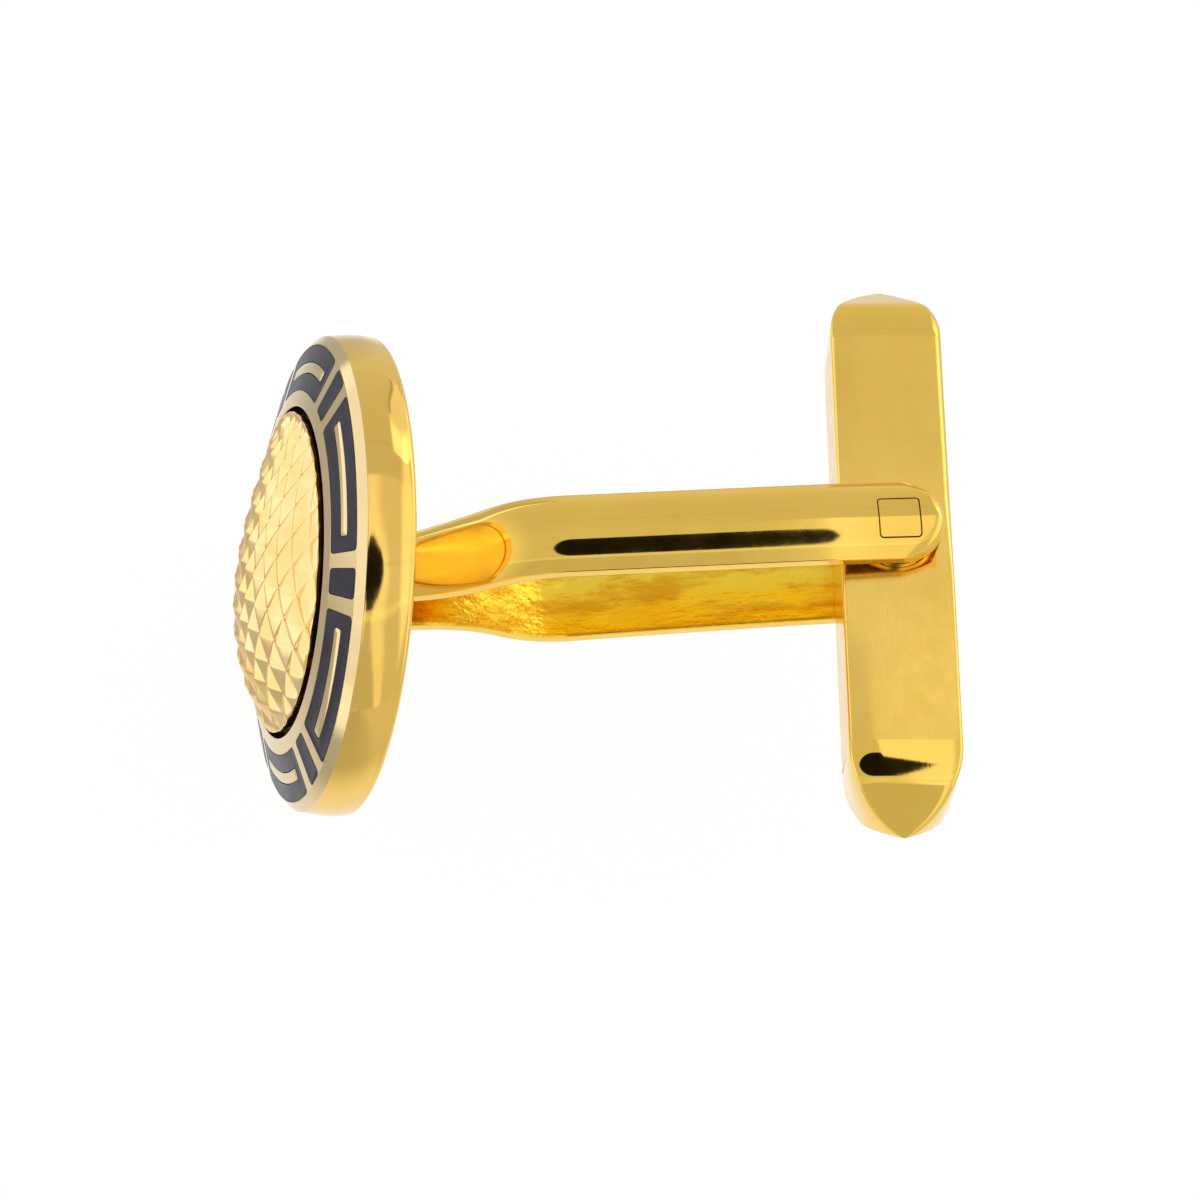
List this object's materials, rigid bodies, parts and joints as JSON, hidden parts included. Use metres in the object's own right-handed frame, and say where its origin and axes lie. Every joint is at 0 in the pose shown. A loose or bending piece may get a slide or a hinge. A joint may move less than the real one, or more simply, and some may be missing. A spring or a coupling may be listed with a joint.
{
  "type": "cufflink",
  "caption": "Gold cufflink with a round enamelled face around a pyramid-cut dome, a two-armed fork and a swivelling toggle bar.",
  "frame": {"origin": "centre of the round face's flat back, which bears on the outside of the cuff", "axes": "+X along the fork from the face to the toggle, +Y along the toggle bar at rest, +Z along the pivot pin"},
  "size_m": [0.0242, 0.02, 0.0158],
  "materials": {
    "polished_gold": "polished 18 carat yellow gold",
    "brushed_gold": "fine satin 18 carat yellow gold",
    "pale_gold": "bright cut 18 carat yellow gold",
    "dark_enamel": "fired opaque slate blue enamel, glossy",
    "spring_steel": "blued spring steel strip"
  },
  "bodies": {
    "head": {"face_rim": "polished_gold", "back_plate": "polished_gold", "dome_insert": "pale_gold", "dome_stud": "polished_gold", "enamel_long_1": "dark_enamel", "enamel_long_2": "dark_enamel", "enamel_long_3": "dark_enamel", "enamel_long_4": "dark_enamel", "enamel_long_5": "dark_enamel", "enamel_long_6": "dark_enamel", "enamel_short_1": "dark_enamel", "enamel_short_2": "dark_enamel", "enamel_short_3": "dark_enamel", "enamel_short_4": "dark_enamel", "enamel_short_5": "dark_enamel", "enamel_short_6": "dark_enamel", "inlay_bar_1": "polished_gold", "inlay_bar_2": "polished_gold", "inlay_bar_3": "polished_gold", "inlay_bar_4": "polished_gold", "inlay_bar_5": "polished_gold", "inlay_bar_6": "polished_gold", "arm_upper": "polished_gold", "arm_lower": "polished_gold", "pivot_pin": "polished_gold", "washer_upper": "polished_gold", "washer_lower": "polished_gold"},
    "toggle": {"toggle_tube": "brushed_gold", "toggle_cap_left": "brushed_gold", "toggle_cap_right": "brushed_gold", "leaf_spring_inner": "spring_steel", "leaf_spring_outer": "spring_steel"}
  },
  "joints": [
    {"name": "toggle_swivel", "type": "hinge", "parent": "head", "child": "toggle", "pos_m": [0.01785, 0, 0], "axis": [0, 0, 1], "continuous": true, "deforming": ["leaf_spring_inner", "leaf_spring_outer"]}
  ]
}
